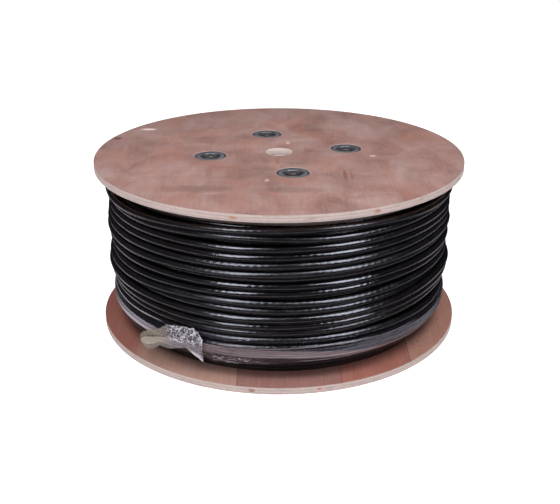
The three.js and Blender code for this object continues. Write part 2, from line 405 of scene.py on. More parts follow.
def inner_face_material():
    """The lower flange's inner veneer, laid in strips along Y whose seams the photograph shows."""
    nodes = Nodes("plywood_inner_face")
    dark, middle, light = srgb(146, 110, 98), srgb(176, 142, 128), srgb(190, 160, 146)
    grain, streaks, pores = veneer(nodes, dark, middle, light, 11.7)
    across = nodes.parts()["X"]
    tint = STRIP_TINTS[0]
    for edge, strip in zip(STRIP_EDGES_MM, STRIP_TINTS[1:]):
        blur = SOFT_EDGE_MM if edge == STRIP_EDGES_MM[0] else SHARP_EDGE_MM
        tint = nodes.mix(nodes.fade(across, edge - blur, edge + blur), tint, strip)
    colour = nodes.mix(0.85, grain, tint)
    colour = nodes.stain(colour, streaks, 0.45, 0.7, 0.07, light)
    colour = nodes.stain(colour, streaks, 0.52, 0.34, 0.10, srgb(96, 60, 48))
    seams = 0.0
    for edge in STRIP_EDGES_MM[1:]:
        near = nodes.math("ABSOLUTE", nodes.math("SUBTRACT", across, float(edge)))
        seams = nodes.math("MAXIMUM", seams, nodes.fade(near, 0.15, 0.7, 1, 0))
    colour = nodes.mix(nodes.times(seams, 0.6), colour, srgb(82, 50, 42))
    speckle = nodes.noise((3, 8, 3), scale=1.5, detail=3)
    right_strip = nodes.math("GREATER_THAN", across, STRIP_EDGES_MM[-1])
    speckle = nodes.times(nodes.fade(speckle, 0.55, 0.7, 0, 0.45), right_strip)
    colour = nodes.mix(speckle, colour, srgb(108, 82, 66))
    return veneer_surface(nodes, colour, streaks, pores)


PLIES = 5


def edge_material(name, low, high, spots):
    """A plywood edge: plies with long grain and end grain in turn, and knots as brown spots."""
    nodes = Nodes(name)
    height = nodes.parts()["Z"]
    waver = nodes.noise((22, 22, 60), detail=2)
    waver = nodes.times(nodes.math("SUBTRACT", waver, 0.5), 0.5)
    share = nodes.fade(nodes.plus(height, waver), low / MM, high / MM)
    share.node.interpolation_type = "LINEAR"
    ply = nodes.times(share, PLIES)
    odd = nodes.math("PINGPONG", ply, 1.0)
    band = nodes.fade(odd, 0.42, 0.58)
    long_grain, end_grain = srgb(197, 180, 176), srgb(184, 165, 160)
    colour = nodes.mix(band, long_grain, end_grain)
    across = nodes.math("ABSOLUTE", nodes.math("SUBTRACT", nodes.math("FRACT", ply), 0.5))
    glue = nodes.fade(across, 0.44, 0.49, 0, 0.3)
    colour = nodes.mix(glue, colour, srgb(132, 104, 94))
    fibre = nodes.noise((5, 5, 0.5), scale=1.2, detail=4, roughness=0.7)
    colour = nodes.stain(colour, fibre, 0.45, 0.75, 0.5, srgb(214, 196, 186))
    colour = nodes.stain(colour, fibre, 0.5, 0.28, 0.45, srgb(142, 116, 108))
    wear = nodes.noise((24, 24, 5), scale=1.4, detail=4, roughness=0.65)
    colour = nodes.stain(colour, wear, 0.5, 0.72, 0.45, srgb(148, 124, 120))
    for azimuth, above, size, tint in spots:
        a = radians(azimuth)
        centre = (FLANGE_RADIUS / MM * sin(a), -FLANGE_RADIUS / MM * cos(a), low / MM + above)
        length = nodes.length(nodes.place(size, tuple(-c / s for c, s in zip(centre, size))))
        mask = nodes.fade(nodes.plus(length, nodes.times(fibre, 0.5)), 0.5, 1.3, 0.8, 0)
        colour = nodes.mix(mask, colour, tint)
    relief = nodes.bump(fibre, 0.5, 0.3 * MM)
    relief = nodes.bump(glue, 0.5, -0.15 * MM, relief)
    shader = nodes.principled(base_color=colour, roughness=0.78, specular_ior_level=0.3, normal=relief)
    return nodes.finish(shader)


def bore_material():
    """The wall of the spindle hole: pale cut plywood, brightened near to white as painted light, since
    little light reaches down the hole.
    """
    nodes = Nodes("plywood_bore")
    fibre = nodes.noise((6, 6, 1.2), scale=1.4, detail=4, roughness=0.65)
    # Painted light: the wall is coloured near white so that it looks brightly lit.
    colour = nodes.ramp(fibre, [(0.3, srgb(240, 214, 206)), (0.7, srgb(255, 246, 242))])
    height = nodes.parts()["Z"]
    away = nodes.math("ABSOLUTE", nodes.math("SUBTRACT", height, UPPER_LOW / MM - 0.2))
    colour = nodes.mix(nodes.fade(away, 0.1, 0.5, 0.6, 0), colour, srgb(150, 116, 106))
    relief = nodes.bump(fibre, 0.3, 0.2 * MM)
    return nodes.finish(nodes.principled(base_color=colour, roughness=0.8, normal=relief))


DISC_SIDES = 288
SPINDLE_SIDES = 96
HOLE_SIDES = 64
EDGE_ROUNDING = 0.45 * MM
SHARP_ANGLE = radians(50)
FLAT_NORMAL = 0.9  # a face whose normal points up or down by more than this is level
# The order of a board's materials
TOP_FACE, BOTTOM_FACE, OUTER_EDGE, BORE_WALL = range(4)


def plywood_disc(name, radius, low, high, holes, materials, stands_for):
    """A round board. Each hole is (centre, radius, low, high)."""
    mesh = prism_mesh(name, radius, low, high, DISC_SIDES)
    for centre, hole_radius, hole_low, hole_high in holes:
        sides = SPINDLE_SIDES if centre == (0, 0) else HOLE_SIDES
        mesh = cut_mesh(mesh, prism_mesh("cutter", hole_radius, hole_low, hole_high, sides, centre))
    rounding = dict(width=EDGE_ROUNDING, segments=2, limit_method="ANGLE", angle_limit=SHARP_ANGLE)
    mesh = with_modifier(mesh, "BEVEL", **rounding)
    mesh.polygons.foreach_set("use_smooth", [True] * len(mesh.polygons))
    mesh.set_sharp_from_angle(angle=radians(24))
    add_piece(name, mesh, materials, stands_for)
    for face in mesh.polygons:
        around = hypot(face.center.x, face.center.y)
        if face.normal.z > FLAT_NORMAL:
            face.material_index = TOP_FACE
        elif face.normal.z < -FLAT_NORMAL:
            face.material_index = BOTTOM_FACE
        else:
            face.material_index = BORE_WALL if around < SPINDLE_RADIUS + MM else OUTER_EDGE


def make_boards():
    upper_face = upper_face_material()
    inner_face = inner_face_material()
    upper_spots = [(-12, 3.6, (6, 6, 2.0), srgb(176, 120, 84)), (27, 3.8, (5, 5, 2.4), srgb(172, 102, 58))]
    lower_spots = [(-7.5, 3.8, (5, 5, 2.4), srgb(138, 88, 62)), (11.5, 4.4, (3, 3, 1.6), srgb(196, 74, 74))]
    bore = bore_material()
    upper_edge = edge_material("plywood_upper_edge", UPPER_LOW, UPPER_HIGH, upper_spots)
    lower_edge = edge_material("plywood_lower_edge", LOWER_LOW, LOWER_HIGH, lower_spots)
    seat_depth = FIT + WASHER_SHEET
    over = 2 * MM
    for name, low, high, side, materials in (
        ("upper", UPPER_LOW, UPPER_HIGH, 1, (upper_face, inner_face, upper_edge, bore)),
        ("lower", LOWER_LOW, LOWER_HIGH, -1, (inner_face, upper_face, lower_edge, bore)),
    ):
        seat = (high - seat_depth, high + over) if side > 0 else (low - over, low + seat_depth)
        through = (low - over, high + over)
        holes = [((0, 0), SPINDLE_RADIUS, *through)]
        holes += [(at, WASHER_RADIUS + FIT, *seat) for at in BOLT_CENTRES.values()]
        holes += [(at, CUP_RADIUS + FIT, *through) for at in BOLT_CENTRES.values()]
        plywood_disc(f"{name}_flange_board", FLANGE_RADIUS, low, high, holes, materials, [f"{name}_flange"])
        hub_low = low - HUB_THICKNESS if side > 0 else high
        hub_high = hub_low + HUB_THICKNESS
        through = (hub_low - over, hub_high + over)
        holes = [((0, 0), SPINDLE_RADIUS, *through)]
        holes += [(at, BOLT_RADIUS + FIT, *through) for at in BOLT_CENTRES.values()]
        hub_node = f"{name}_hub_disc"
        plywood_disc(f"{name}_hub_board", HUB_RADIUS, hub_low, hub_high, holes, materials, [hub_node])


# Fasteners


# A washer's painted light and shade, from its centre to its rim: share of its radius and brightness. Pale
# rings are painted highlights, dark ones painted shade in its hollows.
WASHER_PAINTED_LIGHT_RINGS = (
    (0.0, 0.16), (0.50, 0.16), (0.60, 0.55), (0.66, 0.5),
    (0.74, 1.05), (0.86, 0.8), (0.92, 0.25), (1.0, 0.4),
)


def steel_material(name, dark, light, roughness, metallic, rings=False):
    """Stained steel. Where rings is true, a washer shows painted highlights and painted shade as paler and
    darker rings.
    """
    nodes = Nodes(name)
    stain = nodes.noise((6, 6, 6), scale=1.4, detail=5, roughness=0.65)
    colour = nodes.ramp(stain, [(0.3, dark), (0.7, light)])
    if rings:
        # Painted light and shade: bands of brightness by the share of the washer's radius.
        ring_light_and_shade = nodes.ramp(nodes.attribute("away"), [(share, (grey,) * 3) for share, grey in WASHER_PAINTED_LIGHT_RINGS])
        colour = nodes.mix(1.0, colour, ring_light_and_shade, "MULTIPLY")
    fine = nodes.noise((0.8, 0.8, 0.8), detail=3)
    rough = nodes.fade(stain, 0.3, 0.7, roughness - 0.08, roughness + 0.12)
    relief = nodes.bump(fine, 0.3, 0.06 * MM)
    shader = nodes.principled(base_color=colour, roughness=rough, metallic=metallic, normal=relief)
    return nodes.finish(shader)


def washer_profile(face, side):
    """Points of a dished washer with a rolled ring round its cup. side is 1 when its face looks up."""
    rim = WASHER_RADIUS
    depth = WASHER_DEPTH
    sheet = WASHER_SHEET
    points = [
        (BOLT_RADIUS + FIT, depth),
        (CUP_FLOOR_RADIUS + 0.7 * sheet, depth),
        (CUP_FLOOR_RADIUS + sheet, depth - 0.4 * sheet),
        (CUP_RADIUS, sheet + 0.4 * MM),
        (CUP_RADIUS + 0.4 * MM, sheet),
        (rim - 0.3 * MM, sheet),
        (rim, sheet - 0.3 * MM),
        (rim, 0.8 * MM),
        (rim - 0.25 * MM, 0.35 * MM),
        (rim - 1.1 * MM, 0.15 * MM),
        (rim - 2.2 * MM, 0.55 * MM),
        (CUP_MOUTH_RADIUS + 2.6 * MM, 0.55 * MM),
        (CUP_MOUTH_RADIUS + 1.9 * MM, 0.1 * MM),
        (CUP_MOUTH_RADIUS + 1.0 * MM, 0),
        (CUP_MOUTH_RADIUS + 0.3 * MM, 0.15 * MM),
        (CUP_MOUTH_RADIUS - 0.2 * MM, 0.8 * MM),
        (CUP_FLOOR_RADIUS + 0.1 * MM, depth - sheet - 0.5 * MM),
        (CUP_FLOOR_RADIUS - 0.5 * MM, depth - sheet),
        (BOLT_RADIUS + FIT, depth - sheet),
    ]
    profile = [(r, face - side * down) for r, down in points]
    return profile[::-1] if side > 0 else profile


WASHER_SIDES = 72
THREAD_PITCH = 1.25 * MM
THREAD_DEPTH = 0.35 * MM
THREAD_RIDGES = 14
BOLT_CHAMFER = 0.7 * MM
PLAIN_END = 0.8 * MM
AXIS = 0.0002 * MM  # a radius so small that it closes a profile on its axis
ACROSS_FLATS = 13 * MM


def bolt_profile(low, high):
    """A bolt's shank from below its head to its chamfered end, with thread ridges near the end."""
    start = high - PLAIN_END - THREAD_RIDGES * THREAD_PITCH
    points = [(AXIS, low), (BOLT_RADIUS, low), (BOLT_RADIUS, start)]
    for i in range(THREAD_RIDGES):
        z = start + i * THREAD_PITCH
        points.append((BOLT_RADIUS - THREAD_DEPTH, z + THREAD_PITCH / 2))
        points.append((BOLT_RADIUS, z + THREAD_PITCH))
    points += [(BOLT_RADIUS - BOLT_CHAMFER, high), (AXIS, high)]
    return points


def hexagon_mesh(name, centre, low, high, turn, bore=0.0):
    """A hexagon with its corners turned down at both ends, and a bore where one is given."""
    corner = ACROSS_FLATS / sqrt(3)
    mesh = prism_mesh(name, corner, low, high, 6, centre, turn)
    flat = ACROSS_FLATS / 2
    drop = 0.9 * MM
    outline = [
        (flat - 0.2 * MM, low - MM * 0.01),
        (corner + 0.01 * MM, low + drop),
        (corner + 0.01 * MM, high - drop),
        (flat - 0.2 * MM, high + MM * 0.01),
    ]
    ring = [(2 * corner, outline[0][1]), (2 * corner, outline[-1][1]), *outline[::-1]]
    cutter = lathe_mesh("cutter", ring, 48, centre)
    cutter.flip_normals()
    mesh = cut_mesh(mesh, cutter)
    if bore:
        mesh = cut_mesh(mesh, prism_mesh("cutter", bore, low - MM, high + MM, 32, centre))
    return mesh


NUT_TURNS = {1: 0.3, 2: 0.75, 3: 0.1, 4: 0.55}  # radians, at each bolt
HEAD_TURN = 0.4  # radians from the nut


def make_fasteners():
    washer_dark, washer_light = srgb(92, 92, 94), srgb(128, 130, 136)
    washer_steel = steel_material("washer_steel", washer_dark, washer_light, 0.45, 0.25, rings=True)
    bolt_steel = steel_material("plated_steel", srgb(60, 56, 56), srgb(100, 94, 92), 0.42, 0.35)
    for i, at in BOLT_CENTRES.items():
        for side_name, side in (("upper", 1), ("lower", -1)):
            node = f"{side_name}_cup_washer_{i}"
            low, high = node_heights(node)
            profile = washer_profile(high if side > 0 else low, side)
            mesh = lathe_mesh(node, profile, WASHER_SIDES, at)
            store(mesh, "away", [r / WASHER_RADIUS for r, _ in profile] * WASHER_SIDES)
            add_piece(f"{side_name}_dished_washer_{i}", mesh, [washer_steel], [node])
        nut_low, nut_high = node_heights(f"tie_nut_{i}")
        mesh = hexagon_mesh("nut", at, nut_low, nut_high, NUT_TURNS[i], BOLT_RADIUS + 0.1 * MM)
        add_piece(f"hexagon_nut_{i}", mesh, [bolt_steel], [f"tie_nut_{i}"])
        bolt_low, bolt_high = node_heights(f"tie_bolt_{i}")
        head_high = node_heights(f"lower_cup_washer_{i}")[1] - WASHER_SHEET
        head = hexagon_mesh("head", at, bolt_low, head_high, NUT_TURNS[i] + HEAD_TURN)
        shank = lathe_mesh("shank", bolt_profile(head_high, bolt_high), 40, at)
        bm = bmesh.new()
        bm.from_mesh(head)
        bm.from_mesh(shank)
        mesh = finished_mesh(bm, "bolt")
        add_piece(f"threaded_tie_bolt_{i}", mesh, [bolt_steel], [f"tie_bolt_{i}"])


# Cable

STATION_AZIMUTHS = (-60, -40, -20, 0, 20, 40, 60)
# Height in millimetres of each outer turn at those azimuths, from the top turn down, as the
# photograph shows them, and how far the turn is sunk between its neighbours.
OUTER_TURNS_MM = (
    ((173.5, 173.5, 174, 174, 174, 173.5, 173.5), 0),
    ((156, 160.5, 163.5, 165, 165.5, 163.5, 160), 0),
    ((150, 152, 156.5, 156, 153, 152.5, 152), 2),
    ((144, 143, 144, 144.5, 145.5, 146.5, 148), 0),
    ((136, 136.5, 135.5, 136.5, 139, 141, 144), 0),
    ((131, 131.5, 132, 132.5, 134, 135.5, 140), 5),
    ((127, 127.5, 128.5, 129, 129.5, 130.5, 136), 0),
    ((115, 118.5, 118.5, 119.5, 121.5, 123.5, 126), 0),
    ((110.5, 112.5, 113.5, 114, 115.5, 115.5, 116.5), 4),
    ((107, 107.5, 108.5, 108, 107.5, 107.5, 108.5), 0),
    ((89.5, 94, 97.5, 98, 100, 103.5, 104.5), 0),
    ((84, 88, 93.5, 93.5, 93.5, 99, 97), 4),
    ((84, 88, 91, 89, 86.8, 88, 93), 1),
    ((82, 84, 82, 81.5, 81.5, 83, 87), 2),
    ((78, 76, 72.5, 71.8, 76, 78.3, 82), 0),
    ((74.5, 72.5, 69.5, 69, 71.5, 74, 78), 4),
    ((69, 64.5, 65, 66, 67.5, 70, 76), 0),
    ((59.5, 57, 55.5, 57.5, 59, 61.5, 66.5), 0),
    ((51, 51.5, 47.5, 50, 50, 49.5, 49), 0),
    ((43, 43, 42, 41.5, 41, 41, 41), 0),
    ((35, 35, 34, 33.5, 33.5, 33, 33), 1.5),
    ((26, 26, 26.5, 26.5, 26.5, 26.5, 27), 4.5),
    ((18, 18, 18.5, 18.5, 18.5, 18.5, 19), 9),
)
COIL_RADIUS_MM = 187.3
COIL_LEAN_MM = 2.5
COIL_WAVE_MM = 1.5
COIL_WAVE_LENGTH_MM = 43
COIL_WAVE_CREST_MM = 119.5
COIL_MIDDLE_MM = 93
RING_STEPS = 540
RING_SIDES = 12


def coil_radius_mm(z_mm):
    """The radius over the outermost turns at a height."""
    lean = COIL_LEAN_MM * (z_mm - COIL_MIDDLE_MM) / TRAVERSE_MM
    wave = COIL_WAVE_MM * np.cos(TAU * (z_mm - COIL_WAVE_CREST_MM) / COIL_WAVE_LENGTH_MM)
    return COIL_RADIUS_MM + lean + wave


def smooth_round(values, sigma_steps):
    """Gaussian smoothing along the last axis, which closes on itself."""
    count = values.shape[-1]
    frequency = np.fft.rfftfreq(count) * TAU
    kernel = np.exp(-0.5 * (frequency * sigma_steps) ** 2)
    return np.fft.irfft(np.fft.rfft(values, axis=-1) * kernel, n=count, axis=-1)


HEIGHT_BLUR_DEGREES = 7


def wanted_heights_mm(azimuths):
    """The height of each turn round the whole coil. The back, which isn't shown, is nearly level."""
    random = np.random.default_rng(5)
    rows = []
    for heights, _ in OUTER_TURNS_MM:
        even = sum(heights) / len(heights)
        wander = random.uniform(-0.8, 0.8, 4)
        left, right = (even + heights[0]) / 2, (even + heights[-1]) / 2
        knots = [(-180, even), (-145, even + wander[0]), (-110, even + wander[1]), (-82, left)]
        knots += list(zip(STATION_AZIMUTHS, heights))
        knots += [(82, right), (110, even + wander[2]), (145, even + wander[3]), (180, even)]
        rows.append(np.interp(azimuths, *zip(*knots)))
    rows = smooth_round(np.array(rows), HEIGHT_BLUR_DEGREES * RING_STEPS / 360)
    for row in rows:
        for waves in (5, 9, 14, 23):
            row += random.uniform(0.1, 0.35) * np.cos(waves * np.radians(azimuths) + random.uniform(0, TAU))
    return rows


SETTLE_ROUNDS = 160
PUSH_SHARE = 0.25  # of an overlap, in one round
HEIGHT_PULL = 0.06  # of the way back to the wanted height, in one round
RADIUS_PULL = 0.10
SETTLE_BLUR_STEPS = 3


def settle(wanted, sunk):
    """Heights and radii in millimetres at which the turns touch without running into each other."""
    reach = 2 * CABLE_RADIUS / MM
    lowest = LOWER_HIGH / MM + reach / 2
    highest = UPPER_LOW / MM - reach / 2
    z = wanted.copy()
    depth = sunk[:, None] + reach / 2
    r = coil_radius_mm(z) - depth
    for _ in range(SETTLE_ROUNDS):
        dz = z[:, None] - z[None]
        dr = r[:, None] - r[None]
        gap = np.sqrt(dz**2 + dr**2) + 1e-6
        push = PUSH_SHARE * np.clip(reach - gap, 0, None) / gap
        z = z + (push * dz).sum(1) + HEIGHT_PULL * (wanted - z)
        r = r + (push * dr).sum(1) + RADIUS_PULL * (coil_radius_mm(z) - depth - r)
        z = np.clip(smooth_round(z, SETTLE_BLUR_STEPS), lowest, highest)
        r = smooth_round(r, SETTLE_BLUR_STEPS)
    return z, r


PAIR_LAY_MM = 23
CORE_LAY_MM = 31


def ripple_mm(turn, along, around):
    """The relief that the twisted pairs press into the jacket: four lobes on a long lay."""
    phases = np.random.default_rng(100 + turn).uniform(0, TAU, 2)
    lobes = np.cos(4 * around + TAU * along / PAIR_LAY_MM + phases[0])
    return 0.05 * lobes + 0.04 * np.cos(TAU * along / CORE_LAY_MM + around + phases[1])


def ring_points(turn, z_mm, r_mm, angles, sides, ripple=True):
    around = np.linspace(0, TAU, sides, endpoint=False)[None, :]
    along = (np.radians(angles) * np.mean(r_mm))[:, None]
    thick = CABLE_RADIUS / MM + (ripple_mm(turn, along, around) if ripple else 0 * around * along)
    radius = r_mm[:, None] + thick * np.cos(around)
    height = z_mm[:, None] + thick * np.sin(around)
    azimuth = np.radians(angles)[:, None]
    points = np.stack([radius * np.sin(azimuth), -radius * np.cos(azimuth), height], axis=-1)
    return points.reshape(-1, 3) * MM


def rings_mesh(name, rings, steps, sides):
    """One mesh of several closed rings of cable."""
    faces = np.array(grid_faces(steps, sides))
    all_faces = np.concatenate([faces + i * steps * sides for i in range(len(rings))])
    return make_mesh(name, np.concatenate(rings), all_faces.tolist(), 180)


BEADS_PER_TURN = 163
BEAD_SLANT = 2.0


def cable_material(name, sheen_tint=WHITE, refraction=1.5):
    """Glossy black jacket, with the beads that the twisted pairs press into it."""
    nodes = Nodes(name)
    smear = nodes.noise((30, 30, 9), scale=1.6, detail=4, roughness=0.6)
    colour = nodes.ramp(smear, [(0.3, srgb(9, 8, 10)), (0.75, srgb(18, 16, 19))])
    dust = nodes.noise((2.5, 2.5, 2.5), detail=5, roughness=0.7)
    colour = nodes.stain(colour, dust, 0.64, 0.82, 0.12, srgb(96, 88, 86))
    parts = nodes.parts()
    # Painted light: the top turns, shaded under the upper flange, are lightened towards brown-grey as if
    # lit.
    colour = nodes.stain(colour, parts["Z"], 164, 175, 0.65, srgb(82, 70, 68))
    azimuth = nodes.math("ARCTAN2", parts["X"], parts["Y"])
    shift = nodes.attribute("shift")
    along = nodes.times(azimuth, BEADS_PER_TURN)
    slant = nodes.times(nodes.attribute("around"), BEAD_SLANT)
    beads = nodes.math("SINE", nodes.plus(nodes.plus(along, slant), shift))
    patches = nodes.noise((70, 70, 7), scale=1.4, detail=2)
    beads = nodes.times(beads, nodes.fade(patches, 0.42, 0.60, 0.15, 1.0))
    relief = nodes.bump(beads, 1.0, 0.05 * MM)
    orange_peel = nodes.noise((2.4, 2.4, 1.6), detail=3, roughness=0.6)
    relief = nodes.bump(orange_peel, 0.5, 0.25 * MM, relief)
    turn_wear = nodes.math("SINE", nodes.times(shift, 3.1))
    rough = nodes.fade(smear, 0.35, 0.75, 0.16, 0.27)
    rough = nodes.plus(rough, nodes.times(turn_wear, 0.06))
    shader = nodes.principled(
        base_color=colour, roughness=rough, ior=refraction, specular_tint=sheen_tint, normal=relief
    )
    return nodes.finish(shader)


# The lowest turns mirror the flange. Their cooler sheen keeps them black, as in the photograph.
LOW_TURNS = 3
LOW_SHEEN = (0.32, 0.42, 0.66, 1)
LOW_REFRACTION = 1.3
TURN_SHIFT = 2.4  # radians between the beads of neighbouring turns


def make_cable():
    """Returns the azimuths, heights and radii of the outer turns, in degrees and millimetres."""
    jacket = cable_material("cable_jacket")
    low_jacket = cable_material("cable_jacket_low", LOW_SHEEN, LOW_REFRACTION)
    angles = np.linspace(-180, 180, RING_STEPS, endpoint=False)
    sunk = np.array([depth for _, depth in OUTER_TURNS_MM], float)
    z, r = settle(wanted_heights_mm(angles), sunk)
    ring = RING_STEPS * RING_SIDES
    around = (np.linspace(0, TAU, RING_SIDES, endpoint=False) + pi) % TAU
    groups = np.array_split(np.arange(len(z)), 3)
    for name, group in zip(("upper", "middle", "lower"), groups):
        rings = [ring_points(i, z[i], r[i], angles, RING_SIDES) for i in group]
        mesh = rings_mesh(f"{name}_turns", rings, RING_STEPS, RING_SIDES)
        store(mesh, "around", np.tile(around, RING_STEPS * len(group)))
        store(mesh, "shift", np.repeat(group * TURN_SHIFT, ring))
        is_low = np.repeat(group >= len(z) - LOW_TURNS, ring)
        mesh.polygons.foreach_set("material_index", is_low.astype(np.int32))
        add_piece(f"cable_turns_{name}", mesh, [jacket, low_jacket], ["cable_coil"])
    make_inner_layers(jacket)
    return angles, z, r


SECOND_LAYER_GAP_MM = 0.6
LOWEST_TURN_SUNK_MM = 6
INNER_LAYERS_RADIUS = 168 * MM


def make_inner_layers(jacket):
    """The layer of turns that shows in the gaps of the outer one, and the layers inside it."""
    steps, sides, turns = 180, 10, 20
    low, high = LOWER_HIGH / MM, UPPER_LOW / MM
    pitch = TRAVERSE_MM / turns
    angles = np.linspace(-180, 180, steps, endpoint=False)
    rings = []
    for i in range(turns):
        z = low + (i + 0.5) * pitch + 0.8 * np.sin(3 * np.radians(angles) + i)
        z = np.clip(z, low + CABLE_RADIUS / MM, high - CABLE_RADIUS / MM)
        sunk = LOWEST_TURN_SUNK_MM if i == 0 else 0
        r = coil_radius_mm(z) - 3 * CABLE_RADIUS / MM - SECOND_LAYER_GAP_MM - sunk
        rings.append(ring_points(i, z, r, angles, sides, ripple=False))
    mesh = rings_mesh("second_layer", rings, steps, sides)
    add_piece("cable_second_layer", mesh, [jacket], ["cable_coil"])
    outer = INNER_LAYERS_RADIUS
    bore = BARREL_RADIUS + FIT
    bottom, top = LOWER_HIGH + FIT, UPPER_LOW - FIT
    profile = [(bore, bottom), (outer, bottom), (outer, top), (bore, top)]
    mesh = lathe_mesh("inner_layers", profile, 96)
    add_piece("cable_inner_layers", mesh, [jacket], ["cable_coil"])


# Film


def upper_hull(z, r):
    """The film's line: the outline of points stretched straight over its hollows."""
    hull = []
    for point in zip(z, r):
        while len(hull) > 1:
            (z0, r0), (z1, r1) = hull[-2:]
            if (r1 - r0) * (point[0] - z0) > (point[1] - r0) * (z1 - z0):
                break
            hull.pop()
        hull.append(point)
    hull_z, hull_r = zip(*hull)
    return np.interp(z, hull_z, hull_r)


def bell(value, centre, half_width):
    return max(0.0, 1 - abs(value - centre) / half_width)


def crumple(u, v, spacing, seed):
    """Distance to the nearest crease of a random net: 0 on a crease, up to 1 inside a facet."""
    cell = Vector((u / spacing, v / spacing, seed))
    distances = noise.voronoi(cell, distance_metric="DISTANCE")[0]
    return min(distances[1] - distances[0], 1.0)


# The band's upper and lower edge, as azimuth and height.
FILM_TOP_MM = (
    (-180, 50), (-60, 52), (-40, 52), (-22, 46), (-6, 53),
    (6, 49), (20, 50), (40, 49), (60, 49), (180, 50),
)
FILM_BOTTOM_MM = (
    (-180, 28), (-60, 32), (-40, 26), (-22, 18.5), (-10, 20),
    (-3, 24), (8, 26), (40, 25), (60, 26), (180, 28),
)
FILM_ROWS = 44
FILM_GAP_MM = 0.25
FILM_THICKNESS = 0.12 * MM
FILM_SAG_MM = 9  # how deep the film may dip under its widest place
FILM_ARC_RADIUS_MM = 188  # turns an azimuth into a length along the coil
FILM_BLUR_STEPS = 6
# Where the film spans flat between two turns and looks milky, its pinkish milk partly cloudy film and
# partly a painted reflection of the flange: azimuth, lowest and highest height.
MILK_ZONE_MM = (
    (-180, 30, 36), (-70, 33, 38), (-60, 34, 39), (-40, 33, 41), (-22, 32, 42), (0, 33, 41.5),
    (10, 31, 40), (18, 29.5, 36), (28, 28.3, 32.3), (40, 28.3, 31), (55, 28.3, 30.6), (180, 30, 36),
)
# Painted highlights: thin white lines along the edges of the film's layers, as azimuth range, height and
# brightness.
FILM_GLINT_LINES_MM = (
    (-90, -36, 51, 1.0), (-90, -38, 41.5, 0.8), (-90, -42, 37, 0.9), (-90, -44, 34.5, 0.9),
    (-20, 60, 36.5, 0.25), (-16, 60, 33, 0.35), (4, 64, 28, 0.7), (8, 50, 43.5, 0.45),
    (12, 34, 31.5, 0.6), (2, 26, 21.5, 0.5), (14, 40, 24.5, 0.4), (-22, 20, 43.5, 0.5),
    (-5.5, -1.5, 24.8, 1.4), (-23, 12, 22.5, 0.35),
)
# Where the band is wrinkled, its creases drawn only as painted highlights: between two azimuths and below a
# height.
WRINKLES_FROM, WRINKLES_TO = -24, -3
WRINKLES_BELOW_MM = 30


def make_film_band(angles, z, r):
    """Clear film stretched over the lowest turns."""

    def around_coil(azimuths, heights):
        return smooth_round(np.interp(angles, azimuths, heights), FILM_BLUR_STEPS)

    top = around_coil(*zip(*FILM_TOP_MM))
    bottom = around_coil(*zip(*FILM_BOTTOM_MM))
    zone_azimuth, zone_low, zone_high = zip(*MILK_ZONE_MM)
    milk_low = around_coil(zone_azimuth, zone_low)
    milk_high = around_coil(zone_azimuth, zone_high)
    reach = CABLE_RADIUS / MM
    shell, milk, painted_glints = [], [], []
    for k, angle in enumerate(angles):
        heights = np.linspace(bottom[k], top[k], FILM_ROWS)
        inside = reach**2 - (heights[None] - z[:, k, None]) ** 2
        surface = np.where(inside > 0, r[:, k, None] + np.sqrt(np.clip(inside, 0, None)), 0).max(0)
        surface = np.maximum(surface, surface.max() - FILM_SAG_MM)
        radius = upper_hull(heights, surface) + FILM_GAP_MM
        azimuth = radians(angle)
        shell.append(np.stack([radius * sin(azimuth), -radius * cos(azimuth), heights], -1))
        inner = np.minimum(heights - milk_low[k], milk_high[k] - heights)
        milk.append(np.clip(inner / 0.8 + 0.5, 0, 1))
        # Painted highlights: the strength of white lines and creases painted on the film.
        painted_glint = np.zeros(FILM_ROWS)
        for start, end, height, brightness in FILM_GLINT_LINES_MM:
            inside_range = np.clip(min(angle - start, end - angle) / 4, 0, 1)
            waver = height + 0.6 * sin(angle / 7 + height)
            near = np.clip(1.3 - np.abs(heights - waver) / 0.45, 0, 1)
            painted_glint = np.maximum(painted_glint, inside_range * brightness * near)
        # Painted highlights along a net of creases stand for the band's wrinkles.
        if WRINKLES_FROM < angle < WRINKLES_TO:
            fade = min(angle - WRINKLES_FROM, WRINKLES_TO - angle, 3) / 3
            along = azimuth * FILM_ARC_RADIUS_MM
            for row, height in enumerate(heights):
                if height < WRINKLES_BELOW_MM:
                    crease = bell(crumple(along, height * 2.2, 6.5, 3.0), 0, 0.16)
                    painted_glint[row] = max(painted_glint[row], 0.75 * crease * fade)
        painted_glints.append(painted_glint)
    points = np.concatenate(shell) * MM
    mesh = make_mesh("film_band_skin", points, grid_faces(len(angles), FILM_ROWS, True, False), 180)
    store(mesh, "milk", np.concatenate(milk))
    store(mesh, "painted_glint", np.concatenate(painted_glints))
    mesh = with_modifier(mesh, "SOLIDIFY", thickness=FILM_THICKNESS, offset=1.0)
    # The pinkish milk is partly the film's own cloudiness and partly a painted reflection of the plywood
    # flange.
    material = film_material("film_band", srgb(124, 106, 110))
    band = add_piece("film_band_skin", mesh, [material], ["film_band"])


MOST_GLOSS = 0.09  # the share of light that the film mirrors at a flat angle


